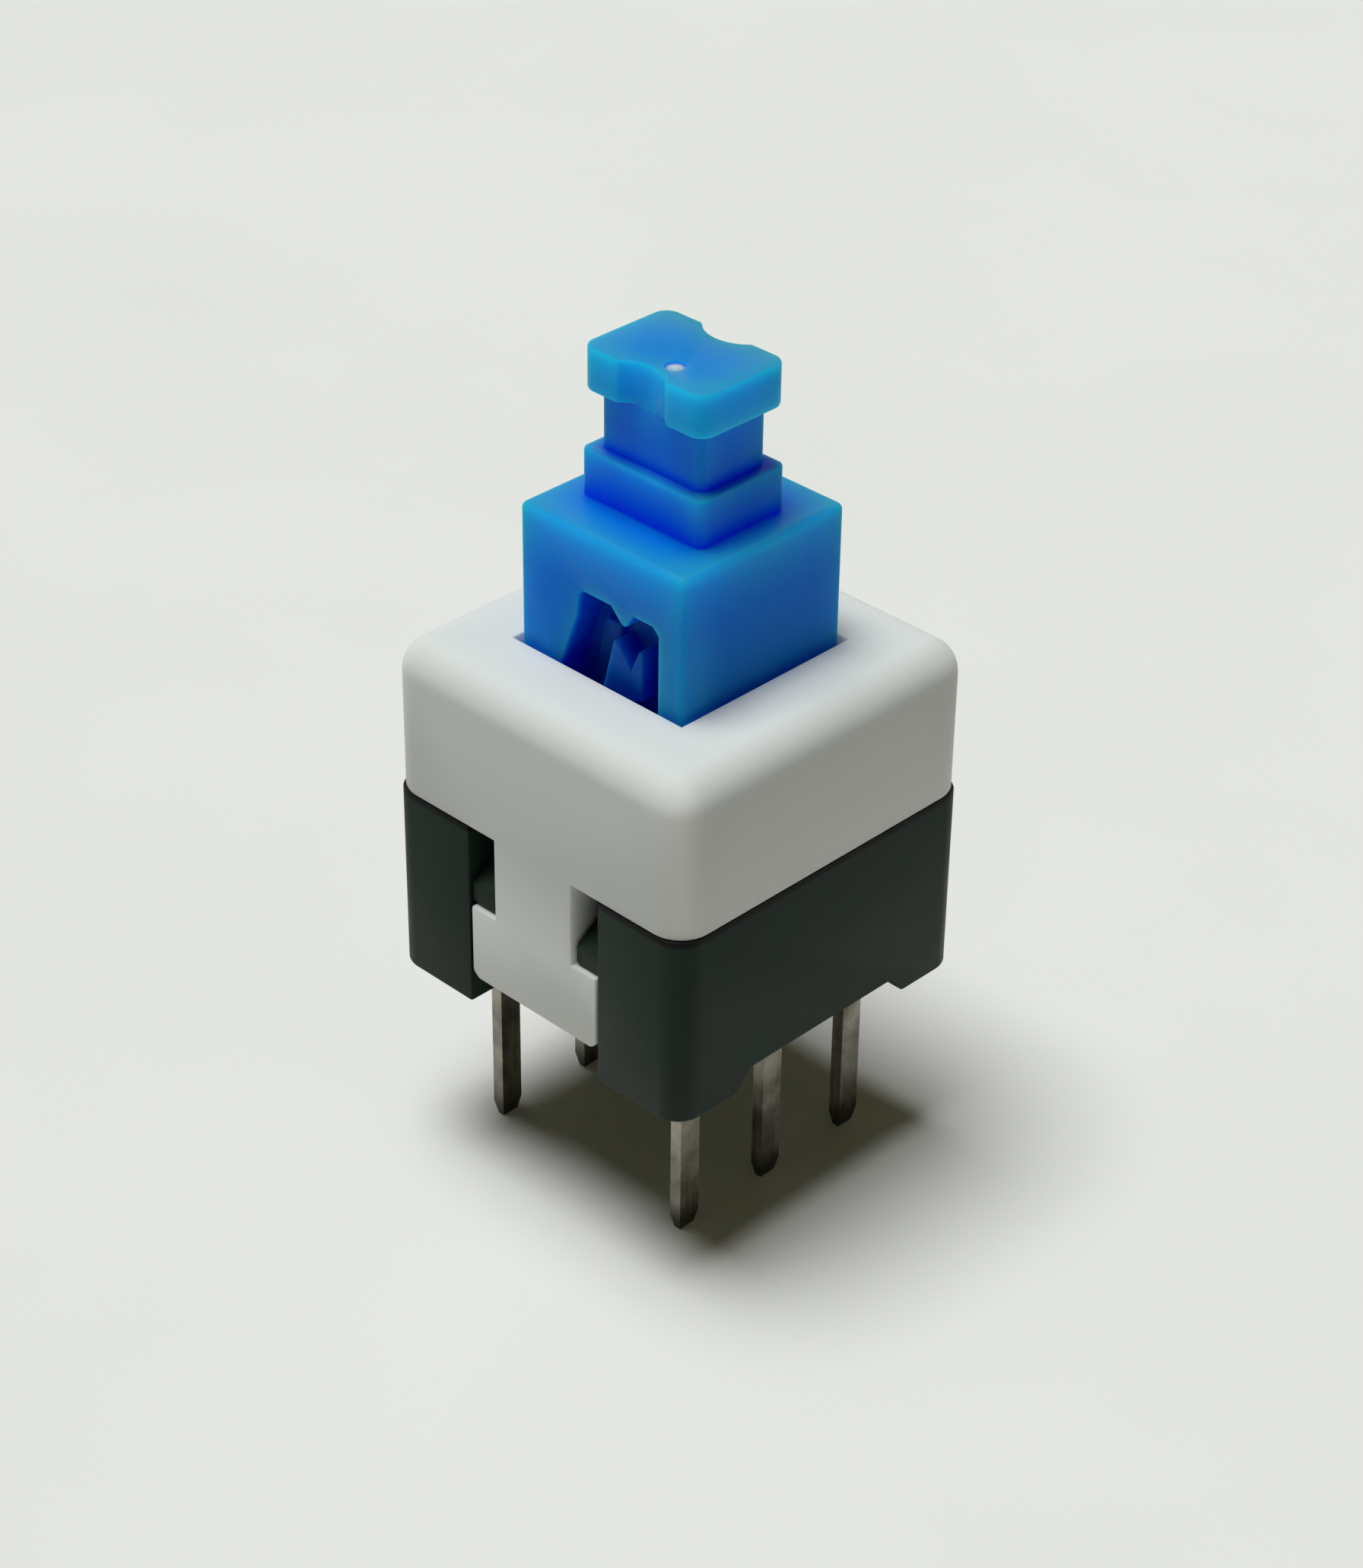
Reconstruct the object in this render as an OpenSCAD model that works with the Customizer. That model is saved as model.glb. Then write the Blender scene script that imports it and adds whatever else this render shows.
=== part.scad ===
// Latching push switch, two poles, six pins: a moulded base and cover clipped together round a
// sprung plunger, whose heart-shaped cam and wire pin hold it down on one press and let it up on
// the next. Millimetres, +Z up, origin under the middle of the body at the pins' tips.

/* [Body] */
// Side of the square body
body_w = 8.5; // [8.3:0.1:10]
// Pin tips to the seat on the board
pin_len = 4.35; // [3:0.05:6]
// Height of the corner feet that lift the base off the board
foot_h = 0.45; // [0.3:0.05:1]
// Thickness of the corner feet
foot_t = 0.6; // [0.4:0.05:0.8]
// Length of a foot along the sides without legs
foot_len = 2.1; // [1.4:0.1:2.6]
// Length of the slope at the end of such a foot
foot_slope = 0.4; // [0.2:0.1:1]
// Board seat to the parting line of base and cover
base_h = 4.45; // [4:0.05:6]
// Thickness of the base's floor
floor_t = 1.05; // [0.8:0.05:1.4]
// Radius of the base's upright edges
base_round = 0.6; // [0.3:0.05:0.8]
// Height of the base's rim inside the cover
rim_h = 0.5; // [0.3:0.05:0.8]
// Height of the cover above the parting line
cover_h = 3.55; // [3.2:0.05:5]
// Thickness of the cover's walls
cover_wall = 0.8; // [0.6:0.05:0.9]
// Thickness of the cover's top
cover_top_t = 0.9; // [0.6:0.05:1.2]
// Radius of the cover's upright and top edges
cover_round = 0.75; // [0.4:0.05:1]
// Clearance between parts that fit
fit_gap = 0.05; // [0.03:0.01:0.08]
// Clearance of the plunger's block in the cover's hole
slide_gap = 0.1; // [0.05:0.01:0.15]

/* [Snap legs] */
// Width of a leg's neck
neck_w = 2.28; // [1.6:0.02:2.8]
// Width of the bar at a leg's foot
bar_w = 3.7; // [3.4:0.02:4.2]
// Height of the bar
bar_h = 1.8; // [1:0.05:1.9]
// Parting line to the underside of the bar
leg_len = 3.75; // [3:0.05:3.8]
// Corner cut on the bar's lower ends
bar_chamfer = 0.16; // [0.1:0.02:0.4]
// Height of a catch that hooks over the bar
catch_h = 0.45; // [0.3:0.05:0.7]
// Height of the ramp above a catch
catch_ramp_h = 0.5; // [0.3:0.05:0.7]

/* [Plunger] */
// Distance from the body's side to the plunger's square block
block_inset = 1.95; // [1.9:0.05:2.05]
// Block standing above the cover at rest
block_out = 3.15; // [3.1:0.05:4]
// Rounding of the block's edges
block_round = 0.15; // [0.05:0.05:0.3]
// Full travel of the plunger
travel = 3; // [2.6:0.1:3]
// Travel at which the cam holds the plunger
latch_travel = 2.2; // [2:0.05:2.3]
// Length of the step, neck and head across the plunger
head_l = 3.35; // [2.8:0.05:3.6]
// Depth of the step, neck and head
head_d = 2.4; // [2:0.05:2.6]
// Height of the step on the block
step_h = 1.05; // [0.4:0.05:1.2]
// Height of the neck under the head
neck_h = 1.3; // [1:0.05:2]
// Inset of the neck below the head, all round
neck_inset = 0.28; // [0.15:0.01:0.35]
// Height of the head
head_h = 0.95; // [0.8:0.05:1.6]
// Radius of the head's upright edges
head_round = 0.35; // [0.1:0.05:0.4]
// Width of the hollow in each long side of the head
notch_w = 1.35; // [0.8:0.05:1.6]
// Depth of that hollow
notch_d = 0.3; // [0.15:0.01:0.4]
// Clearance between the skirt under the cover and the base's walls
skirt_gap = 0.2; // [0.15:0.01:0.3]

/* [Latch] */
// Diameter of the latch wire
wire_d = 0.4; // [0.3:0.05:0.4]
// Depth of the heart cam
cam_depth = 0.7; // [0.6:0.05:0.75]
// Depth of the island's face below the block's
island_sink = 0.2; // [0.1:0.01:0.22]
// Rise of the floor along the lane that is followed going down
cam_ramp = 0.2; // [0.1:0.05:0.25]
// Clearance between the wire and the cam's walls
cam_gap = 0.06; // [0.05:0.01:0.1]
// Place of the wire across the face at rest
latch_x = -0.75; // [-0.85:0.05:-0.65]
// Side shift of the wire's end over the full travel
latch_swing = 0.75; // [0.7:0.05:0.8]
// Distance between the two upper corners of the cam
cam_w = 1.32; // [1.2:0.02:1.34]
// Height of the wire's pivot above the floor
pivot_h = 0.6; // [0.55:0.05:0.7]
// Clearance on either side of the wire, between the plunger and the base's wall
wire_room = 0.13; // [0.1:0.005:0.2]

/* [Return spring] */
// Diameter of the spring wire
spring_wire = 0.25; // [0.2:0.01:0.3]
// Outer diameter of the spring
spring_od = 2.1; // [1.9:0.05:2.15]
// Number of turns
spring_turns = 8; // [6:1:9]
// Depth of the spring's bore in the plunger
bore_depth = 4.4; // [4:0.1:4.8]
// Radius of that bore
bore_r = 1.2; // [1.15:0.01:1.25]

/* [Contacts] */
// Distance between neighbouring pins of a row
pitch = 2.5; // [2.4:0.05:2.54]
// Distance of a row of pins from the body's side
row_inset = 1.5; // [1.4:0.05:1.55]
// Thickness of the terminal strip
strip_t = 0.3; // [0.2:0.05:0.3]
// Width of a pin
pin_w = 0.55; // [0.4:0.05:0.7]
// Width of a contact blade
blade_w = 0.76; // [0.7:0.02:0.8]
// Outward step of the blades that open when the plunger goes down
blade_step = 0.15; // [0.1:0.01:0.2]
// Thickness of a moving contact
leaf_t = 0.14; // [0.1:0.01:0.16]
// Height of a moving contact
leaf_h = 1; // [0.8:0.05:1.1]
// Radius of the bumps on a moving contact
bump_r = 0.37; // [0.34:0.01:0.37]
// Gap between a bump and the blade that it meets
contact_gap = 0.05; // [0.03:0.01:0.08]

/* [Hidden] */
$fn = 48;

seat_z = pin_len;
under_z = seat_z + foot_h;
floor_z = under_z + floor_t;
part_z = seat_z + base_h;
top_z = part_z + cover_h;
ceiling_z = top_z - cover_top_t;

half = body_w / 2;
row_x = half - row_inset;
cover_in = half - cover_wall;
block = half - block_inset;
cavity_x = row_x + strip_t / 2 + blade_step + fit_gap;
cavity_y = max(pitch + blade_w / 2 + fit_gap, block + wire_d + 2 * wire_room);
rim_out = cover_in - fit_gap;
inner_round = 0.2;

leg_z = part_z - leg_len;
bar_top_z = leg_z + bar_h;
recess_w = bar_w + 2 * fit_gap;
catch_z = bar_top_z + fit_gap;
catch_out = half - 0.1;
leg_lead = 0.25;

plunger_w = 2 * block;
hole_w = plunger_w + 2 * slide_gap;
block_z = top_z + block_out;
head_top_z = block_z + step_h + neck_h + head_h;
skirt_bottom_z = floor_z + travel + 2 * fit_gap;
skirt_top_z = ceiling_z - fit_gap;
skirt_y = cavity_y - skirt_gap;
notch_r = (notch_w * notch_w / 4 + notch_d * notch_d) / (2 * notch_d);
gate_r = 0.2;
gate_depth = 0.06;
gate_at = [0.3, -0.55];

wire_r = wire_d / 2;
bend_r = wire_r + 0.12;
latch_end_z = ceiling_z - 0.6;
pivot_z = floor_z + pivot_h;
latch_y = (cavity_y + block) / 2;
pivot_in = rim_out - fit_gap;
lane_r = wire_r + 1.5 * cam_gap;
hook_end = block - cam_depth + cam_ramp + cam_gap;
wire_way = 0.3;

blade_in = row_x - strip_t / 2;
blade_out = blade_in + strip_t;
reach = blade_in - contact_gap;
leaf_back = block - leaf_t - 0.09;
leaf_z = skirt_bottom_z + 0.5;
leaf_end = pitch + bump_r;
blade_top_z = ceiling_z - 0.5;
short_blade_z = leaf_z + leaf_h - latch_travel + 0.2;
step_low_z = short_blade_z + 0.35;
step_high_z = leaf_z - 0.2;
pin_taper = 0.35;
pin_tip = 0.07;

// Rectangle with round corners, centred
module rounded_square(w, d, r) {
    square([w - 2 * r, d], center = true);
    square([w, d - 2 * r], center = true);
    for (sx = [-1, 1], sy = [-1, 1])
        translate([sx * (w / 2 - r), sy * (d / 2 - r)]) circle(r);
}

// Upright edge of a box in section: radius r wide, h high, rounded over at the top
module edge_section(h, r) {
    square([r, h - r]);
    translate([0, h - r]) intersection() {
        circle(r);
        square(r);
    }
}

// Box standing on z = 0 with round upright edges and a round edge along its top
module round_topped_box(w, d, h, r) {
    x = w / 2 - r;
    y = d / 2 - r;
    linear_extrude(h) square([2 * x, 2 * y], center = true);
    for (s = [0, 1]) {
        mirror([s, 0, 0]) along_y(-y, y) translate([x, 0]) edge_section(h, r);
        mirror([0, s, 0]) along_x(-x, x) translate([y, 0]) edge_section(h, r);
        for (t = [0, 1]) mirror([s, 0, 0]) mirror([0, t, 0])
            translate([x, y, 0]) rotate_extrude(angle = 90) edge_section(h, r);
    }
}

// Extrudes a shape drawn in X and Z along Y, between two places on Y
module along_y(y0, y1) {
    translate([0, y1, 0]) rotate([90, 0, 0]) linear_extrude(y1 - y0) children();
}

// Extrudes a shape drawn in Y and Z along X, between two places on X
module along_x(x0, x1) {
    translate([x0, 0, 0]) rotate([90, 0, 90]) linear_extrude(x1 - x0) children();
}

// ---- Cover ----

// T-shaped leg on the front of the cover, its inner face cut back at the bottom as a lead-in
module snap_leg() {
    intersection() {
        along_y(-half, -cover_in) {
            translate([-neck_w / 2, leg_z]) square([neck_w, leg_len + cover_round]);
            polygon([[-bar_w / 2, bar_top_z], [-bar_w / 2, leg_z + bar_chamfer],
                [-bar_w / 2 + bar_chamfer, leg_z], [bar_w / 2 - bar_chamfer, leg_z],
                [bar_w / 2, leg_z + bar_chamfer], [bar_w / 2, bar_top_z]]);
        }
        along_x(-bar_w, bar_w)
            polygon([[-half, leg_z], [-cover_in - leg_lead, leg_z], [-cover_in, leg_z + 2 * leg_lead],
                [-cover_in, top_z], [-half, top_z]]);
    }
}

module cover() color("whitesmoke") {
    difference() {
        translate([0, 0, part_z]) round_topped_box(body_w, body_w, cover_h, cover_round);
        translate([0, 0, part_z - 1]) linear_extrude(ceiling_z - part_z + 1)
            rounded_square(2 * cover_in, 2 * cover_in, inner_round);
        translate([0, 0, ceiling_z - 1]) linear_extrude(cover_top_t + 2) square(hole_w, center = true);
    }
    for (a = [0, 180]) rotate([0, 0, a]) snap_leg();
}

// ---- Base ----

// Two ramped catches that hook over the shoulders of the front leg's bar
module catches() {
    for (s = [0, 1]) mirror([s, 0, 0])
        along_x(neck_w / 2 + fit_gap, recess_w / 2)
            polygon([[-rim_out, catch_z], [-catch_out, catch_z], [-catch_out, catch_z + catch_h],
                [-rim_out, catch_z + catch_h + catch_ramp_h]]);
}

// Ridges under the corners, cut away where the legs come down and sloping on the other two sides
module feet() {
    apart = half - foot_len;
    over = 0.1;
    difference() {
        linear_extrude(foot_h) rounded_square(body_w, body_w, base_round);
        translate([0, 0, -1]) linear_extrude(foot_h + 2) {
            square([body_w - 2 * foot_t, 2 * rim_out], center = true);
            square([recess_w, 2 * body_w], center = true);
        }
        along_x(-body_w, body_w) for (s = [0, 1]) mirror([s, 0])
            polygon([[-over, -over * foot_h], [apart + (1 + over) * foot_slope, -over * foot_h],
                [apart - over * foot_slope, (1 + over) * foot_h], [-over, (1 + over) * foot_h]]);
    }
}

// Low ribs on the side walls that keep the blades of a row apart
module blade_ribs() {
    rib_t = 0.3;
    rib_out = blade_in + strip_t / 2;
    for (s = [-1, 1], y = [-pitch / 2, pitch / 2])
        translate([s > 0 ? rib_out : -cavity_x - inner_round, y - rib_t / 2, floor_z])
            cube([cavity_x + inner_round - rib_out, rib_t, short_blade_z - floor_z]);
}

// Slots for the six pins
module pin_slots() {
    slot_gap = fit_gap / 2;
    for (s = [-1, 1], y = [-pitch, 0, pitch])
        translate([s * row_x, y, under_z - foot_h]) linear_extrude(floor_t + 2 * foot_h)
            square([strip_t + 2 * slot_gap, pin_w + 2 * slot_gap], center = true);
}

module base() color([0.13, 0.14, 0.14]) {
    spigot_r = spring_od / 2 - spring_wire - fit_gap;
    difference() {
        union() {
            difference() {
                union() {
                    translate([0, 0, under_z]) linear_extrude(part_z - under_z)
                        rounded_square(body_w, body_w, base_round);
                    translate([0, 0, part_z - 1]) linear_extrude(rim_h + 1)
                        rounded_square(2 * rim_out, 2 * rim_out, inner_round);
                }
                translate([0, 0, floor_z]) linear_extrude(base_h)
                    square([2 * cavity_x, 2 * cavity_y], center = true);
                for (s = [-1, 1])
                    translate([-recess_w / 2, s > 0 ? rim_out : -half - 1, under_z - 1])
                        cube([recess_w, half + 1 - rim_out, part_z - under_z + 2]);
            }
            translate([0, 0, seat_z]) feet();
            for (a = [0, 180]) rotate([0, 0, a]) catches();
            blade_ribs();
            translate([0, 0, floor_z]) cylinder(h = 3 * spring_wire + 0.7, r = spigot_r);
        }
        pin_slots();
        translate([latch_x, 0, pivot_z]) rotate([90, 0, 0]) cylinder(h = half, r = wire_r + fit_gap);
    }
}

// ---- Plunger ----

// Heart cam on the front face: a sunk window with a lower island in it. The wire's end rests at the
// lower left, climbs the slanted lane, drops onto the island and leaves down the right.
module heart_cam() {
    top = latch_end_z + travel + lane_r;
    cusp_z = top - 0.32;
    left = latch_x + latch_swing;
    right = left + cam_w;
    mid = left + cam_w / 2;
    lane = travel / latch_swing;
    wall_x = latch_x - 0.4;
    turn_z = latch_end_z + 0.45 * travel;
    notch_z = latch_end_z + latch_travel - lane_r;
    island = wire_r + cam_gap + 0.05;
    flank = island * sqrt(1 + 1 / (lane * lane)) + latch_x;
    foot = latch_end_z + 0.25 * travel;
    horn = latch_end_z + 0.79 * travel;
    difference() {
        along_y(-block - 1, -block + cam_depth)
            polygon([[wall_x, latch_end_z - lane_r], [latch_x + lane_r, latch_end_z - lane_r],
                [right + lane_r, turn_z - lane_r], [right + lane_r, top - 0.15], [right + lane_r - 0.15, top],
                [right - lane_r - 0.1, top], [mid + 0.06, cusp_z], [mid - 0.06, cusp_z],
                [left + lane_r, top], [left - lane_r - 0.2, top], [left - lane_r - 0.3, top - 0.12],
                [left - lane_r - 0.36, top - 0.6], [wall_x, turn_z]]);
        along_y(-block + island_sink, -block + cam_depth + 1)
            polygon([[flank + (foot - latch_end_z) / lane, foot], [right - island, turn_z - 0.05],
                [right - island, horn], [right - island - 0.12, horn + 0.06], [mid, notch_z],
                [flank + (horn - latch_end_z) / lane + 0.12, horn + 0.06],
                [flank + (horn - latch_end_z) / lane, horn]]);
    }
}

// Skirt that holds the plunger under the cover and carries the moving contacts
module skirt() {
    right = latch_x + latch_swing + cam_w + wire_r + wire_way;
    left = latch_x - wire_r - wire_way;
    height = skirt_top_z - skirt_bottom_z;
    difference() {
        translate([-block, -skirt_y, skirt_bottom_z]) cube([plunger_w, 2 * skirt_y, height]);
        translate([left, -skirt_y - 1, skirt_bottom_z - 1]) cube([right - left, 1 + skirt_y - block, height + 2]);
    }
}

// Step, neck and notched head that a key cap clips onto
module head() {
    neck_l = head_l - 2 * neck_inset;
    neck_d = head_d - 2 * neck_inset;
    head_z = head_top_z - head_h;
    translate([0, 0, block_z - block_round]) linear_extrude(step_h + block_round)
        rounded_square(head_l, head_d, head_round / 2);
    translate([0, 0, block_z]) linear_extrude(step_h + neck_h + gate_depth)
        rounded_square(neck_l, neck_d, head_round / 2);
    difference() {
        translate([0, 0, head_z]) linear_extrude(head_h) difference() {
            rounded_square(head_l, head_d, head_round);
            for (s = [-1, 1]) translate([0, s * (head_d / 2 - notch_d + notch_r)]) circle(notch_r);
        }
        translate([gate_at.x, gate_at.y, head_top_z - gate_depth]) cylinder(h = 1, r = gate_r);
    }
    translate([gate_at.x, gate_at.y, head_top_z - gate_depth - 0.1]) cylinder(h = 0.1 + gate_depth / 2, r = gate_r / 2);
}

module plunger() color([0.1, 0.42, 0.8]) {
    pocket = leaf_h + fit_gap;
    difference() {
        union() {
            translate([0, 0, skirt_bottom_z])
                round_topped_box(plunger_w, plunger_w, block_z - skirt_bottom_z, block_round);
            skirt();
            head();
        }
        translate([0, 0, skirt_bottom_z - 1]) cylinder(h = bore_depth + 1, r = bore_r);
        heart_cam();
        for (s = [-1, 1])
            translate([s * (block + leaf_back - fit_gap / 2) / 2, 0, leaf_z + leaf_h / 2])
                cube([block - leaf_back + fit_gap / 2 + 0.001, 2 * body_w, pocket], center = true);
    }
    cam_floor();
}

// Rising floor of the slanted lane, which ends in a step that the wire's end drops over
module cam_floor() {
    low_z = latch_end_z + 0.15 * travel;
    high_z = latch_end_z + 0.86 * travel;
    deep = -block + cam_depth;
    intersection() {
        along_x(latch_x - 0.2, latch_x + latch_swing + 0.12)
            polygon([[deep + 0.1, low_z], [deep, low_z], [deep - cam_ramp, high_z], [deep + 0.1, high_z]]);
        along_y(-block, -block + cam_depth + 0.1)
            polygon([[latch_x - 0.2, low_z], [latch_x + latch_swing - 0.35, high_z],
                [latch_x + latch_swing + 0.12, high_z], [latch_x + 0.45, low_z]]);
    }
}

// ---- Latch pin ----

// Quarter bend of the latch wire, from +X round to +Y about the origin
module wire_bend() {
    rotate_extrude(angle = 90) translate([bend_r, 0]) circle(wire_r);
}

// Wire staple: a foot that turns in the base's wall, a shank, and an end that runs in the cam
module latch_pin() color([0.78, 0.78, 0.76]) {
    translate([latch_x, -latch_y, 0]) {
        translate([0, 0, pivot_z + bend_r]) cylinder(h = latch_end_z - pivot_z - 2 * bend_r, r = wire_r);
        translate([0, -bend_r, pivot_z]) rotate([90, 0, 0]) cylinder(h = pivot_in - latch_y - bend_r, r = wire_r);
        translate([0, bend_r, latch_end_z]) rotate([-90, 0, 0])
            cylinder(h = latch_y - bend_r - hook_end, r = wire_r);
        translate([0, -bend_r, pivot_z + bend_r]) rotate([0, 90, 0]) wire_bend();
        translate([0, bend_r, latch_end_z - bend_r]) rotate([0, 90, 180]) mirror([1, 0, 0]) wire_bend();
    }
}

// ---- Return spring ----

// Height of the wire's middle, n turns along: the end turns lie flat, the rest climb evenly
function coil_z(n, low, high) =
    n < 1 ? low + n * spring_wire :
    n > spring_turns - 1 ? high - (spring_turns - n) * spring_wire :
    low + spring_wire + (n - 1) * (high - low - 2 * spring_wire) / (spring_turns - 2);

module return_spring() color([0.7, 0.71, 0.73]) {
    steps = 24;
    sides = 8;
    mean_r = (spring_od - spring_wire) / 2;
    low = floor_z + spring_wire / 2;
    high = skirt_bottom_z + bore_depth - spring_wire / 2;
    rings = spring_turns * steps;
    points = [for (i = [0:rings], k = [0:sides - 1])
        let (a = 360 * i / steps, b = 360 * k / sides, r = mean_r + cos(b) * spring_wire / 2)
        [r * cos(a), r * sin(a), coil_z(i / steps, low, high) + sin(b) * spring_wire / 2]];
    walls = [for (i = [0:rings - 1], k = [0:sides - 1])
        [i * sides + k, i * sides + (k + 1) % sides, (i + 1) * sides + (k + 1) % sides, (i + 1) * sides + k]];
    caps = [[for (k = [sides - 1:-1:0]) k], [for (k = [0:sides - 1]) rings * sides + k]];
    polyhedron(points, concat(walls, caps), convexity = 10);
}

// ---- Moving contacts ----

// Flat strip with three hollow bumps towards the blades, bridging the middle one and an outer one
module moving_contact() {
    translate([0, 0, leaf_z]) linear_extrude(leaf_h) difference() {
        union() {
            translate([leaf_back, -leaf_end]) square([leaf_t, 2 * leaf_end]);
            for (y = [-pitch, 0, pitch]) translate([reach - bump_r, y]) circle(bump_r);
        }
        for (y = [-pitch, 0, pitch]) translate([reach - bump_r, y]) circle(bump_r - leaf_t);
        translate([leaf_back - body_w, -body_w]) square([body_w, 2 * body_w]);
    }
}

module moving_contact_right() color([0.8, 0.62, 0.4]) moving_contact();
module moving_contact_left() color([0.8, 0.62, 0.4]) mirror([1, 0, 0]) moving_contact();

// ---- Terminals ----

// Terminal strip on the right: side is its X and Z outline, with the pin's tip drawn in on all sides
module terminal(y, top, side) {
    intersection() {
        translate([0, y, 0]) along_y(-blade_w, blade_w) polygon(side);
        translate([0, y, 0]) along_x(0, body_w)
            polygon([[-pin_w / 2 + pin_tip, 0], [pin_w / 2 - pin_tip, 0], [pin_w / 2, pin_taper],
                [pin_w / 2, floor_z], [blade_w / 2, floor_z], [blade_w / 2, top], [-blade_w / 2, top],
                [-blade_w / 2, floor_z], [-pin_w / 2, floor_z], [-pin_w / 2, pin_taper]]);
    }
}

// Tapered pin tip, shared by the three outlines, from the inner side round to the outer one
pin_foot = [[blade_in, pin_taper], [blade_in + pin_tip, 0], [blade_out - pin_tip, 0], [blade_out, pin_taper]];

// Middle blade, which the bump always meets
module common_terminal() {
    terminal(0, blade_top_z, concat(pin_foot, [[blade_out, blade_top_z],
        [blade_in + pin_tip, blade_top_z], [blade_in, blade_top_z - pin_taper]]));
}

// Short blade, met only once the plunger is down
module closing_terminal() {
    terminal(-pitch, short_blade_z, concat(pin_foot, [[blade_out, short_blade_z],
        [blade_in + strip_t / 2, short_blade_z], [blade_in, short_blade_z - pin_taper]]));
}

// Tall blade that steps outwards low down, met only while the plunger is up
module opening_terminal() {
    bend_z = floor_z + 0.3;
    terminal(pitch, blade_top_z, concat(pin_foot, [[blade_out, floor_z],
        [blade_out + blade_step, bend_z], [blade_out + blade_step, step_low_z], [blade_out, step_high_z],
        [blade_out, blade_top_z], [blade_in + pin_tip, blade_top_z], [blade_in, blade_top_z - pin_taper],
        [blade_in, step_high_z], [blade_in + blade_step, step_low_z], [blade_in + blade_step, bend_z],
        [blade_in, floor_z]]));
}

tin = [0.8, 0.79, 0.75];
module terminal_right_no() color(tin) closing_terminal();
module terminal_right_common() color(tin) common_terminal();
module terminal_right_nc() color(tin) opening_terminal();
module terminal_left_no() color(tin) mirror([1, 0, 0]) closing_terminal();
module terminal_left_common() color(tin) mirror([1, 0, 0]) common_terminal();
module terminal_left_nc() color(tin) mirror([1, 0, 0]) opening_terminal();

cover();
base();
plunger();
return_spring();
latch_pin();
moving_contact_left();
moving_contact_right();
terminal_left_no();
terminal_left_common();
terminal_left_nc();
terminal_right_no();
terminal_right_common();
terminal_right_nc();
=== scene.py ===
import math

import bmesh
import bpy
from mathutils import Matrix, Vector


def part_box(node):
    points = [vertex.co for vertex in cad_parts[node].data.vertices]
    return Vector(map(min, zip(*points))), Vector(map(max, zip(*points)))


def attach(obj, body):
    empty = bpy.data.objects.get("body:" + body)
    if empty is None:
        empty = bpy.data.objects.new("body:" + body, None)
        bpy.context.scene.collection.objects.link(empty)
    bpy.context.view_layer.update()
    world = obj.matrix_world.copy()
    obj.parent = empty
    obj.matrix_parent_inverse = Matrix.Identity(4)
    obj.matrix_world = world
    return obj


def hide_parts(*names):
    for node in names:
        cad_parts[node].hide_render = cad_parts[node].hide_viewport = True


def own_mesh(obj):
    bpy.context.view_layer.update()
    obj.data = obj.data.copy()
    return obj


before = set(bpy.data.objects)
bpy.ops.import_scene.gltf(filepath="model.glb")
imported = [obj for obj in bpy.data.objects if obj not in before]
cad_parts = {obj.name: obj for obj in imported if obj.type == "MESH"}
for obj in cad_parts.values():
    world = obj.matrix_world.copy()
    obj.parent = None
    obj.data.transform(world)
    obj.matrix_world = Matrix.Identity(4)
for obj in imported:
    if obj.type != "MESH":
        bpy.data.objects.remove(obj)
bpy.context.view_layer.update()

# Latching push switch: white cover clipped over a black base, blue sprung plunger, six tinned pins.
# The solids come with their sizes and places. This file gives the moulded ones soft edges, gives every
# piece its finish with painted light and shade in the plastics' and the pins' colours, winds the
# return spring, and sets up the floor, the light and the camera.

mm = 0.001
scene = bpy.context.scene
scene.view_settings.view_transform = "Standard"


camera = {
    "azimuth": 44.203,      # degrees round from -Y towards +X
    "elevation": 32.989,
    "roll": 0.743,
    "distance": 75.124,     # mm from the aimed point
    "aim": (0.0, 0.0, 9.0),
    "aimRight": 0.056,      # mm, along the frame's own axes
    "aimUp": -0.175,
    "lens": 82.57,          # mm, for a sensor along the frame's longer side
    "sensor": 36,
    "clip": (0.001, 20),    # metres
}


def setCamera(values):
    azimuth, elevation, roll = (math.radians(values[key]) for key in ("azimuth", "elevation", "roll"))
    back = Vector((math.sin(azimuth) * math.cos(elevation), -math.cos(azimuth) * math.cos(elevation),
                   math.sin(elevation)))
    right = Vector((math.cos(azimuth), math.sin(azimuth), 0))
    up = back.cross(right)
    aim = Vector(values["aim"]) + values["aimRight"] * right + values["aimUp"] * up
    turnedRight = math.cos(roll) * right + math.sin(roll) * up
    turnedUp = math.cos(roll) * up - math.sin(roll) * right
    data = bpy.data.cameras.new("camera")
    data.lens = values["lens"]
    data.sensor_width = values["sensor"]
    data.sensor_fit = "AUTO"
    data.clip_start, data.clip_end = values["clip"]
    obj = bpy.data.objects.new("camera", data)
    scene.collection.objects.link(obj)
    turn = Matrix((turnedRight, turnedUp, back)).transposed().to_4x4()
    obj.matrix_world = Matrix.Translation((aim + values["distance"] * back) * mm) @ turn
    scene.camera = obj


setCamera(camera)
print("camera set")


# Small helpers for node trees

def addNode(tree, kind, settings=None, values=None):
    # settings are properties of the node, values are the numbers on its sockets
    node = tree.nodes.new(kind)
    for key, value in (settings or {}).items():
        setattr(node, key, value)
    for key, value in (values or {}).items():
        node.inputs[key].default_value = value
    return node


def joinNodes(tree, *pairs):
    for source, target in pairs:
        tree.links.new(source, target)


def colourSockets(sockets):
    return [socket for socket in sockets if socket.type == "RGBA"]


def mixColours(tree, factor, first, second, blend="MIX"):
    # Either colour is a node's output or three numbers
    mix = addNode(tree, "ShaderNodeMix", {"data_type": "RGBA", "blend_type": blend})
    tree.links.new(factor, mix.inputs["Factor"])
    for target, value in zip(colourSockets(mix.inputs), (first, second)):
        if hasattr(value, "links"):
            tree.links.new(value, target)
        else:
            target.default_value = (*value, 1)
    return colourSockets(mix.outputs)[0]


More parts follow.
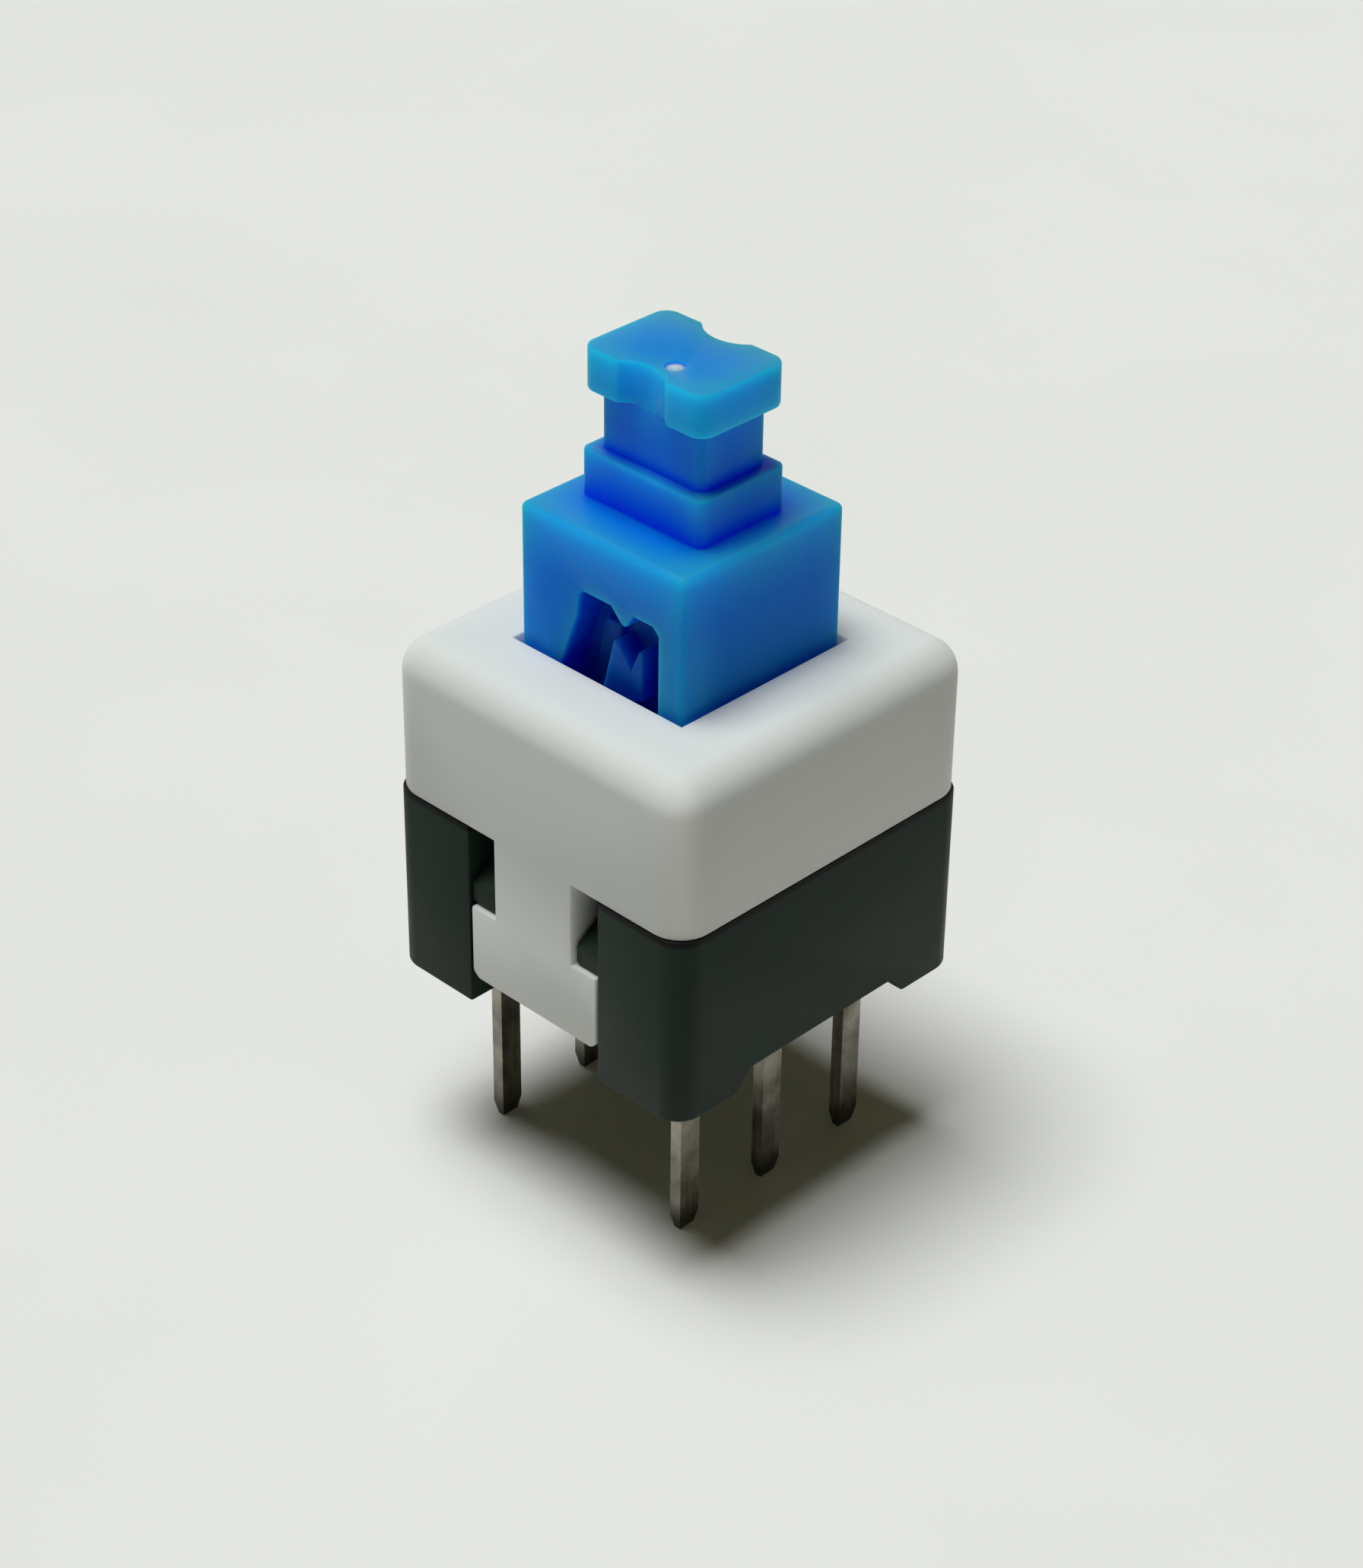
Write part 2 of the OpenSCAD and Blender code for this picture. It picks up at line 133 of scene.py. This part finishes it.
def rangeOf(tree, source, low, high, start=0.0, end=1.0):
    span = addNode(tree, "ShaderNodeMapRange",
                   values={"From Min": start, "From Max": end, "To Min": low, "To Max": high})
    tree.links.new(source, span.inputs["Value"])
    return span.outputs["Result"]


def multiplied(tree, *factors):
    # The first factor is a node's output, the others may be numbers
    result = factors[0]
    for factor in factors[1:]:
        node = addNode(tree, "ShaderNodeMath", {"operation": "MULTIPLY"})
        tree.links.new(result, node.inputs[0])
        if hasattr(factor, "links"):
            tree.links.new(factor, node.inputs[1])
        else:
            node.inputs[1].default_value = factor
        result = node.outputs[0]
    return result


def splitUp(tree, source):
    split = addNode(tree, "ShaderNodeSeparateXYZ")
    tree.links.new(source, split.inputs[0])
    return split.outputs


def placeInPiece(tree):
    # X, Y and Z on the piece itself, so that a pattern moves with it
    return splitUp(tree, addNode(tree, "ShaderNodeTexCoord").outputs["Object"])


def facing(tree):
    # X, Y and Z of the way that a face looks
    return splitUp(tree, addNode(tree, "ShaderNodeNewGeometry").outputs["Normal"])


# Shader groups that several materials use

def newGroup(name, inputs, outputs):
    # inputs: name -> default number, outputs: name -> socket type
    group = bpy.data.node_groups.new(name, "ShaderNodeTree")
    for label, value in inputs.items():
        socket = group.interface.new_socket(name=label, in_out="INPUT", socket_type="NodeSocketFloat")
        socket.default_value = value
    for label, kind in outputs.items():
        group.interface.new_socket(name=label, in_out="OUTPUT", socket_type=kind)
    entry = group.nodes.new("NodeGroupInput")
    leave = group.nodes.new("NodeGroupOutput")
    return group, entry, leave


mouldedSurface = {
    "inputs": {"Cloud Scale": 500, "Grain Scale": 14000},
    "cloud": {"Detail": 3, "Roughness": 0.55},
    "grain": {"Detail": 2, "Roughness": 0.6},
}


def moulded(values):
    # Cloudy tone and fine spark-eroded grain of a moulded surface
    group, entry, leave = newGroup("moulded", values["inputs"],
                                   {"Cloud": "NodeSocketFloat", "Grain": "NodeSocketFloat"})
    place = addNode(group, "ShaderNodeTexCoord")
    cloud = addNode(group, "ShaderNodeTexNoise", values=values["cloud"])
    grain = addNode(group, "ShaderNodeTexNoise", values=values["grain"])
    joinNodes(group, (place.outputs["Object"], cloud.inputs["Vector"]),
              (place.outputs["Object"], grain.inputs["Vector"]),
              (entry.outputs["Cloud Scale"], cloud.inputs["Scale"]),
              (entry.outputs["Grain Scale"], grain.inputs["Scale"]),
              (cloud.outputs["Fac"], leave.inputs["Cloud"]),
              (grain.outputs["Fac"], leave.inputs["Grain"]))
    return group


mouldedEdge = {
    "inputs": {"Radius": 0.2 * mm, "Spread": 3.0},
    "samples": 6,
}


def edgeCatch(values):
    # 1 along an outer or inner edge, fading to 0 over the radius, from how far a rounded normal leans
    group, entry, leave = newGroup("edgeCatch", values["inputs"], {"Edge": "NodeSocketFloat"})
    surface = addNode(group, "ShaderNodeNewGeometry")
    rounded = addNode(group, "ShaderNodeBevel", {"samples": values["samples"]})
    dot = addNode(group, "ShaderNodeVectorMath", {"operation": "DOT_PRODUCT"})
    lean = addNode(group, "ShaderNodeMath", {"operation": "SUBTRACT"}, {0: 1.0})
    gain = addNode(group, "ShaderNodeMath", {"operation": "MULTIPLY", "use_clamp": True})
    joinNodes(group, (entry.outputs["Radius"], rounded.inputs["Radius"]),
              (rounded.outputs["Normal"], dot.inputs[0]),
              (surface.outputs["True Normal"], dot.inputs[1]),
              (dot.outputs["Value"], lean.inputs[1]),
              (lean.outputs[0], gain.inputs[0]),
              (entry.outputs["Spread"], gain.inputs[1]),
              (gain.outputs[0], leave.inputs["Edge"]))
    return group


drawnSurface = {
    "inputs": {"Line Scale": 9000, "Tone Scale": 700},
    "squeeze": (1, 1, 0.04),        # stretches the lines along Z
    "line": {"Detail": 2, "Roughness": 0.6},
    "tone": {"Detail": 4, "Roughness": 0.6},
}


def drawnLines(values):
    # Fine lines along Z that rolling or drawing leaves in metal, over a slow change of tone
    group, entry, leave = newGroup("drawnLines", values["inputs"],
                                   {"Line": "NodeSocketFloat", "Tone": "NodeSocketFloat"})
    place = addNode(group, "ShaderNodeTexCoord")
    squeeze = addNode(group, "ShaderNodeMapping", values={"Scale": values["squeeze"]})
    line = addNode(group, "ShaderNodeTexNoise", values=values["line"])
    tone = addNode(group, "ShaderNodeTexNoise", values=values["tone"])
    joinNodes(group, (place.outputs["Object"], squeeze.inputs["Vector"]),
              (squeeze.outputs["Vector"], line.inputs["Vector"]),
              (place.outputs["Object"], tone.inputs["Vector"]),
              (entry.outputs["Line Scale"], line.inputs["Scale"]),
              (entry.outputs["Tone Scale"], tone.inputs["Scale"]),
              (line.outputs["Fac"], leave.inputs["Line"]),
              (tone.outputs["Fac"], leave.inputs["Tone"]))
    return group


groups = {"moulded": moulded(mouldedSurface), "edgeCatch": edgeCatch(mouldedEdge),
          "drawnLines": drawnLines(drawnSurface)}
print("shader groups made:", len(groups))


# Parts of the materials

noiseSpan = (0.3, 0.7)      # where nearly all of a noise's values lie
toneSpan = (0.35, 0.65)     # narrower, so that metal changes tone in clearer patches


def newMaterial(name, principledValues):
    material = bpy.data.materials.new(name)
    material.use_nodes = True
    tree = material.node_tree
    shader = tree.nodes["Principled BSDF"]
    for key, value in principledValues.items():
        shader.inputs[key].default_value = value
    return material, tree, shader


def placeGroup(tree, name, values):
    return addNode(tree, "ShaderNodeGroup", {"node_tree": groups[name]}, values)


def addBump(tree, shader, height, strength, distance):
    bump = addNode(tree, "ShaderNodeBump", values={"Strength": strength, "Distance": distance})
    joinNodes(tree, (height, bump.inputs["Height"]), (bump.outputs["Normal"], shader.inputs["Normal"]))


def paintedTopShading(tree, colour, upward, values):
    # Painted shading: faces that look up get their colour multiplied by a tint, standing in for light
    # spreading inside translucent plastic, which brings its top nearer to its sides
    return mixColours(tree, upward, colour, values["upward"], "MULTIPLY")


def paintedEdgeGlow(tree, colour, upward, values):
    # Painted glow: where translucent plastic is thin, along its outer edges, the colour is lifted for
    # light passing through it, with another tint on faces that look up
    thick = addNode(tree, "ShaderNodeAmbientOcclusion",
                    {"samples": values["samples"], "only_local": True, "inside": True},
                    {"Distance": values["reach"]})
    factor = rangeOf(tree, thick.outputs["AO"], values["most"], 0, *values["span"])
    lifted = mixColours(tree, upward, values["colour"], values["upward"])
    return mixColours(tree, factor, colour, lifted)


def paintedCornerLight(tree, colour, values):
    # Painted highlight: a rounded upright corner is lightened, for the light it takes in on both of
    # its sides; 4 x x y y is 1 in its middle
    face = facing(tree)
    factor = multiplied(tree, face["X"], face["X"], face["Y"], face["Y"], 4 * values["most"])
    return mixColours(tree, factor, colour, values["colour"])


def paintedThroughGlow(tree, colour, upward, values):
    # Painted glow: the sides just below the tops of translucent plastic are lightened by height, for
    # light that enters the tops and comes out there
    low, high = values["levels"][0][0], values["levels"][-1][0]
    height = rangeOf(tree, placeInPiece(tree)["Z"], 0, 1, low * mm, high * mm)
    glow = addNode(tree, "ShaderNodeValToRGB")
    tree.links.new(height, glow.inputs["Fac"])
    stops = glow.color_ramp.elements
    for index, (level, amount) in enumerate(values["levels"]):
        position = (level - low) / (high - low)
        stop = stops[0] if index == 0 else stops.new(position)
        stop.position = position
        stop.color = (amount, amount, amount, 1)
    factor = multiplied(tree, glow.outputs["Color"], rangeOf(tree, upward, 1, 0))
    return mixColours(tree, factor, colour, values["colour"])


def deepened(tree, colour, values):
    # Painted shade: in its hollows, found by ambient occlusion, a plastic turns towards a deep, darker
    # colour
    hollow = addNode(tree, "ShaderNodeAmbientOcclusion",
                     {"samples": values["samples"], "only_local": values["local"]},
                     {"Distance": values["reach"]})
    factor = rangeOf(tree, hollow.outputs["AO"], 1, 0, *values["span"])
    return mixColours(tree, factor, colour, values["colour"])


def byHeight(tree, colour, values):
    # Another colour, by the amounts at the span's lower and upper end
    factor = rangeOf(tree, placeInPiece(tree)["Z"], *values["amounts"], *values["span"])
    return mixColours(tree, factor, colour, values["colour"])


def paintedWindowShade(tree, colour, values):
    # Painted shade: the heart cam's window, which lies behind the front of the block, is darkened for
    # the shade inside it
    place = placeInPiece(tree)
    side = addNode(tree, "ShaderNodeMath", {"operation": "ABSOLUTE"})
    near = addNode(tree, "ShaderNodeMath", {"operation": "LESS_THAN"}, {1: values["halfWidth"]})
    low = addNode(tree, "ShaderNodeMath", {"operation": "LESS_THAN"}, {1: values["top"]})
    joinNodes(tree, (place["X"], side.inputs[0]), (side.outputs[0], near.inputs[0]),
              (place["Z"], low.inputs[0]))
    depth = rangeOf(tree, place["Y"], 0, values["most"], *values["depth"])
    factor = multiplied(tree, depth, near.outputs[0], low.outputs[0])
    return mixColours(tree, factor, colour, values["colour"])


def paintedGateGlint(tree, colour, values):
    # Painted highlight: a pale spot where the moulding's gate was, for the glint on its vestige
    place = addNode(tree, "ShaderNodeTexCoord")
    away = addNode(tree, "ShaderNodeVectorMath", {"operation": "DISTANCE"}, {1: values["centre"]})
    tree.links.new(place.outputs["Object"], away.inputs[0])
    factor = rangeOf(tree, away.outputs["Value"], values["most"], 0, *values["span"])
    return mixColours(tree, factor, colour, values["colour"])


def plasticMaterial(values):
    material, tree, shader = newMaterial(values["name"], values["shader"])
    surface = placeGroup(tree, "moulded", values["surface"])
    edge = placeGroup(tree, "edgeCatch", values["edge"])
    cloud = rangeOf(tree, surface.outputs["Cloud"], 0, 1, *noiseSpan)
    colour = mixColours(tree, cloud, values["dark"], values["light"])
    # Painted highlight along the edges
    colour = mixColours(tree, edge.outputs["Edge"], colour, values["edgeHighlight"])
    if "edgeGlow" in values:
        upward = rangeOf(tree, facing(tree)["Z"], 0, 1)     # 1 on faces that look up
        colour = paintedTopShading(tree, colour, upward, values["topShading"])
        colour = paintedEdgeGlow(tree, colour, upward, values["edgeGlow"])
    if "corners" in values:
        colour = paintedCornerLight(tree, colour, values["corners"])
    if "throughGlow" in values:
        colour = paintedThroughGlow(tree, colour, upward, values["throughGlow"])
    if "deep" in values:
        colour = deepened(tree, colour, values["deep"])
    if "seamShadow" in values:
        colour = byHeight(tree, colour, values["seamShadow"])
    if "window" in values:
        colour = paintedWindowShade(tree, colour, values["window"])
        colour = paintedGateGlint(tree, colour, values["gateGlint"])
    roughness = rangeOf(tree, surface.outputs["Cloud"], *values["roughness"], *noiseSpan)
    joinNodes(tree, (colour, shader.inputs["Base Color"]), (roughness, shader.inputs["Roughness"]))
    addBump(tree, shader, surface.outputs["Grain"], *values["bump"])
    return material


def metalMaterial(values):
    material, tree, shader = newMaterial(values["name"], {"Metallic": 1.0})
    lines = placeGroup(tree, "drawnLines", values["lines"])
    tone = rangeOf(tree, lines.outputs["Tone"], 0, 1, *toneSpan)
    colour = mixColours(tree, tone, values["dark"], values["light"])
    if "tips" in values:
        colour = byHeight(tree, colour, values["tips"])
    roughness = rangeOf(tree, lines.outputs["Line"], *values["roughness"], *noiseSpan)
    joinNodes(tree, (colour, shader.inputs["Base Color"]), (roughness, shader.inputs["Roughness"]))
    addBump(tree, shader, lines.outputs["Line"], *values["bump"])
    return material


# Moulded pieces: each is a merged copy of its solid with the outer edges rounded over

def meshPiece(name, bm, material, body):
    mesh = bpy.data.meshes.new(name)
    bm.to_mesh(mesh)
    bm.free()
    mesh.materials.append(material)
    obj = bpy.data.objects.new(name, mesh)
    scene.collection.objects.link(obj)
    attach(obj, body)
    return obj


moulding = {
    "merge": 1e-7,          # metres within which corners become one
    "flatUnder": 0.5,       # degrees between faces that become one
    "sharpFrom": 40,        # degrees of an edge that is rounded over
    "smoothUnder": 32,      # degrees of an edge that is shaded smooth
    "segments": 2,
}


def softEdged(node, radius, material, body, values=moulding):
    bm = bmesh.new()
    bm.from_mesh(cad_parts[node].data)
    bmesh.ops.remove_doubles(bm, verts=bm.verts, dist=values["merge"])
    bmesh.ops.dissolve_limit(bm, angle_limit=math.radians(values["flatUnder"]),
                             verts=bm.verts, edges=bm.edges)
    sharp = math.radians(values["sharpFrom"])
    edges = [e for e in bm.edges if e.is_manifold and e.calc_face_angle_signed(0) > sharp]
    bmesh.ops.bevel(bm, geom=edges, offset=radius, offset_type="OFFSET",
                    segments=values["segments"], profile=0.5, affect="EDGES", material=-1,
                    clamp_overlap=False, miter_outer="SHARP", miter_inner="SHARP")
    bmesh.ops.remove_doubles(bm, verts=bm.verts, dist=values["merge"])
    smooth = math.radians(values["smoothUnder"])
    for face in bm.faces:
        face.smooth = True
    for edge in bm.edges:
        edge.smooth = edge.is_manifold and edge.calc_face_angle(math.pi) < smooth
    piece = meshPiece(node + "Moulding", bm, material, body)
    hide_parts(node)
    print(node, "edges rounded:", len(edges), "faces:", len(piece.data.polygons))


cover = {
    "edgeRadius": 0.06 * mm,
    "name": "coverPlastic",
    "shader": {"IOR": 1.5, "Specular IOR Level": 0.22, "Subsurface Weight": 0.3,
               "Subsurface Scale": 0.5 * mm, "Subsurface Radius": (1.0, 0.95, 0.85)},
    "surface": {"Cloud Scale": 420, "Grain Scale": 16000},
    "edge": {"Radius": 0.12 * mm, "Spread": 2.0},
    # Painted shading on faces that look up
    "topShading": {"upward": (1.02, 1.02, 0.95)},
    # Painted glow along thin edges
    "edgeGlow": {"samples": 12, "reach": 1.3 * mm, "span": (0.5, 1.0), "most": 0.8,
             "colour": (0.78, 0.81, 0.84), "upward": (0.64, 0.68, 0.66)},
    # Painted highlight on the upright corners
    "corners": {"most": 0.8, "colour": (0.86, 0.88, 0.88)},
    "dark": (0.625, 0.66, 0.69),
    "light": (0.67, 0.705, 0.735),
    # Painted highlight along the edges
    "edgeHighlight": (0.67, 0.70, 0.73),
    "roughness": (0.56, 0.66),
    "bump": (0.12, 0.01 * mm),      # strength, depth
}
softEdged("cover", cover["edgeRadius"], plasticMaterial(cover), "housing")

base = {
    "edgeRadius": 0.05 * mm,
    "name": "basePlastic",
    "shader": {"IOR": 1.5, "Specular IOR Level": 0.12},
    "surface": {"Cloud Scale": 700, "Grain Scale": 20000},
    "edge": {"Radius": 0.1 * mm, "Spread": 2.0},
    # Painted shade in hollows and in the groove under the cover's edge
    "deep": {"samples": 8, "reach": 0.3 * mm, "span": (0.3, 0.95), "local": False,
             "colour": (0.0, 0.0, 0.001)},
    # Painted shadow: the lip under the cover's edge is painted black, for the shade in the gap there
    "seamShadow": {"span": (8.62 * mm, 8.70 * mm), "amounts": (0, 1), "colour": (0, 0, 0)},
    "dark": (0.009, 0.018, 0.013),
    "light": (0.012, 0.025, 0.017),
    # Painted highlight along the edges
    "edgeHighlight": (0.010, 0.021, 0.015),
    "roughness": (0.42, 0.56),
    "bump": (0.2, 0.01 * mm),
}
softEdged("base", base["edgeRadius"], plasticMaterial(base), "housing")

plunger = {
    "edgeRadius": 0.06 * mm,
    "name": "plungerPlastic",
    "shader": {"IOR": 1.48, "Specular IOR Level": 0.07, "Subsurface Weight": 1.0,
               "Subsurface Scale": 3.5 * mm, "Subsurface Radius": (0.02, 0.25, 1.0)},
    "surface": {"Cloud Scale": 600, "Grain Scale": 16000},
    "edge": {"Radius": 0.12 * mm, "Spread": 1.0},
    # Painted shading on faces that look up
    "topShading": {"upward": (0.7, 1.2, 0.64)},
    # Painted glow along thin edges
    "edgeGlow": {"samples": 12, "reach": 1.0 * mm, "span": (0.5, 1.0), "most": 1.0,
             "colour": (0.01, 0.27, 0.98), "upward": (0.015, 0.27, 0.54)},
    # Painted glow below the tops: height in mm and amount, for the block, the step, the neck and the
    # head in turn
    "throughGlow": {"colour": (0.01, 0.52, 0.98),
                "levels": ((12.0, 0.0), (14.2, 0.14), (14.9, 0.42), (15.48, 0.82),
                           (15.52, 0.0), (16.0, 0.05), (16.5, 0.3),
                           (16.56, 0.1), (17.2, 0.15), (17.8, 0.4),
                           (17.86, 0.75), (18.8, 1.0))},
    # Painted shade in the hollows
    "deep": {"samples": 8, "reach": 1.5 * mm, "span": (0.25, 0.9), "local": True,
             "colour": (0.0, 0.03, 0.80)},
    # Painted shade in the heart cam's window
    "window": {"halfWidth": 1.8 * mm, "top": 15.35 * mm, "depth": (-2.28 * mm, -2.12 * mm),
               "most": 0.85, "colour": (0.0, 0.06, 0.55)},
    # Painted highlight on the gate's vestige
    "gateGlint": {"centre": (0.3 * mm, -0.55 * mm, 18.78 * mm), "span": (0.12 * mm, 0.21 * mm),
             "most": 0.8, "colour": (0.55, 0.70, 0.75)},
    "dark": (0.0, 0.15, 0.92),
    "light": (0.0, 0.18, 0.97),
    # Painted highlight along the edges
    "edgeHighlight": (0.01, 0.30, 0.95),
    "roughness": (0.30, 0.42),
    "bump": (0.1, 0.01 * mm),
}
softEdged("plunger", plunger["edgeRadius"], plasticMaterial(plunger), "plunger")


# Metal pieces keep their solids' shapes

def finishNodes(nodes, material):
    for node in nodes:
        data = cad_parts[node].data
        data.materials.clear()
        data.materials.append(material)
    print(material.name, "on", len(nodes), "solids")


terminals = {
    "name": "tinnedStrip",
    "lines": {"Line Scale": 12000, "Tone Scale": 900},
    # Painted shade: the pins darken towards their lower ends, near the floor
    "tips": {"span": (0.25 * mm, 0.75 * mm), "amounts": (0.85, 0), "colour": (0.04, 0.036, 0.028)},
    "dark": (0.14, 0.13, 0.10),
    "light": (0.36, 0.34, 0.28),
    "roughness": (0.24, 0.42),
    "bump": (0.15, 0.008 * mm),
}
finishNodes([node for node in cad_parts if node.startswith("terminal_")], metalMaterial(terminals))

latchPin = {
    "name": "drawnSteel",
    "lines": {"Line Scale": 15000, "Tone Scale": 1200},
    "dark": (0.50, 0.50, 0.50),
    "light": (0.64, 0.64, 0.65),
    "roughness": (0.20, 0.34),
    "bump": (0.1, 0.005 * mm),
}
steel = metalMaterial(latchPin)     # the return spring's too
finishNodes(["latch_pin"], steel)

movingContacts = {
    "name": "contactBronze",
    "lines": {"Line Scale": 15000, "Tone Scale": 900},
    "dark": (0.62, 0.38, 0.18),
    "light": (0.76, 0.52, 0.29),
    "roughness": (0.22, 0.38),
    "bump": (0.1, 0.005 * mm),
}
finishNodes(["moving_contact_left", "moving_contact_right"], metalMaterial(movingContacts))


springLow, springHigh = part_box("return_spring")
springHeight = springHigh.z - springLow.z
spring = {
    "wire": 0.25 * mm,
    "openTurns": 6,
    "stepsPerTurn": 40,
    "sides": 12,
    "merge": 1e-8,
    "travel": 3 * mm,
}


def windSpring(values):
    # A ring of the wire is spun up the axis: one closed turn, the open turns, one closed turn
    wire, perTurn = values["wire"], values["stepsPerTurn"]
    radius = (springHigh.x - springLow.x - wire) / 2
    openPitch = (springHeight - 3 * wire) / values["openTurns"]
    bm = bmesh.new()
    ring = bmesh.ops.create_circle(bm, cap_ends=False, radius=wire / 2, segments=values["sides"])
    tilt = Matrix.Rotation(math.radians(90), 4, "X")
    start = Matrix.Translation((radius, 0, springLow.z + wire / 2))
    bmesh.ops.transform(bm, matrix=start @ tilt, verts=ring["verts"])
    geometry = list(bm.verts) + list(bm.edges)
    firstRing = list(bm.edges)
    for turns, pitch in ((1, wire), (values["openTurns"], openPitch), (1, wire)):
        spun = bmesh.ops.spin(bm, geom=geometry, cent=(0, 0, 0), axis=(0, 0, 1),
                              angle=math.radians(360 * turns), dvec=(0, 0, pitch / perTurn),
                              steps=turns * perTurn, use_merge=False)
        geometry = spun["geom_last"]
    lastRing = [g for g in geometry if isinstance(g, bmesh.types.BMEdge)]
    for ends in (firstRing, lastRing):
        bmesh.ops.holes_fill(bm, edges=ends, sides=values["sides"])
    bmesh.ops.remove_doubles(bm, verts=bm.verts, dist=values["merge"])
    bmesh.ops.recalc_face_normals(bm, faces=bm.faces)
    for face in bm.faces:
        face.smooth = len(face.verts) == 4      # all but the wire's two cut ends
    return meshPiece("returnSpringCoil", bm, steel, "housing")


coil = windSpring(spring)
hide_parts("return_spring")
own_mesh(coil)
print("spring wound, faces:", len(coil.data.polygons))


studio = {
    "floorSize": 4.0,       # metres
    "floorShader": {"Roughness": 0.9, "Specular IOR Level": 0.2},
    "floorSurface": {"Cloud Scale": 60, "Grain Scale": 3000},
    "floorDark": (0.735, 0.75, 0.735),
    "floorLight": (0.765, 0.78, 0.765),
    "floorBounce": (0.55, 0.55, 0.50),
    "backdrop": (0.775, 0.79, 0.753),
    "ambient": 0.056,
    "ambientColour": (1.0, 0.93, 0.45),
    "keyStrength": 3.08,
    "keyAngle": 31,         # degrees across, so that its shadows are soft
    "keyLean": 10.5,        # degrees away from straight overhead
    "keyAzimuth": 224,      # degrees round from +X, where the light leans to
}


def makeFloor(values):
    bm = bmesh.new()
    bmesh.ops.create_grid(bm, x_segments=1, y_segments=1, size=values["floorSize"] / 2)
    mesh = bpy.data.meshes.new("floor")
    bm.to_mesh(mesh)
    bm.free()
    material, tree, shader = newMaterial("floorPaper", values["floorShader"])
    paper = placeGroup(tree, "moulded", values["floorSurface"])
    cloud = rangeOf(tree, paper.outputs["Cloud"], 0, 1, *noiseSpan)
    seen = mixColours(tree, cloud, values["floorDark"], values["floorLight"])
    path = addNode(tree, "ShaderNodeLightPath")
    colour = mixColours(tree, path.outputs["Is Diffuse Ray"], seen, values["floorBounce"])
    tree.links.new(colour, shader.inputs["Base Color"])
    mesh.materials.append(material)
    obj = bpy.data.objects.new("floor", mesh)
    scene.collection.objects.link(obj)


def makeWorld(values):
    # Seen directly, by gloss or through glass the world is the backdrop's colour, otherwise dim light
    world = bpy.data.worlds.new("studio")
    world.use_nodes = True
    tree = world.node_tree
    tree.nodes.clear()
    path = addNode(tree, "ShaderNodeLightPath")
    seen = addNode(tree, "ShaderNodeMath", {"operation": "MAXIMUM"})
    shone = addNode(tree, "ShaderNodeMath", {"operation": "MAXIMUM"})
    light = addNode(tree, "ShaderNodeBackground",
                    values={"Color": (*values["ambientColour"], 1), "Strength": values["ambient"]})
    backdrop = addNode(tree, "ShaderNodeBackground", values={"Color": (*values["backdrop"], 1)})
    mix = addNode(tree, "ShaderNodeMixShader")
    out = addNode(tree, "ShaderNodeOutputWorld")
    joinNodes(tree, (path.outputs["Is Camera Ray"], seen.inputs[0]),
              (path.outputs["Is Transmission Ray"], seen.inputs[1]),
              (seen.outputs[0], shone.inputs[0]),
              (path.outputs["Is Glossy Ray"], shone.inputs[1]),
              (shone.outputs[0], mix.inputs[0]),
              (light.outputs[0], mix.inputs[1]),
              (backdrop.outputs[0], mix.inputs[2]),
              (mix.outputs[0], out.inputs["Surface"]))
    scene.world = world


def makeKey(values):
    data = bpy.data.lights.new("key", "SUN")
    data.energy = values["keyStrength"]
    data.angle = math.radians(values["keyAngle"])
    obj = bpy.data.objects.new("key", data)
    scene.collection.objects.link(obj)
    lean = math.radians(values["keyLean"])
    around = math.radians(values["keyAzimuth"])
    towards = Vector((math.sin(lean) * math.cos(around), math.sin(lean) * math.sin(around),
                      math.cos(lean)))
    obj.rotation_euler = towards.to_track_quat("Z", "Y").to_euler()


makeFloor(studio)
makeWorld(studio)
makeKey(studio)
print("floor and light set")
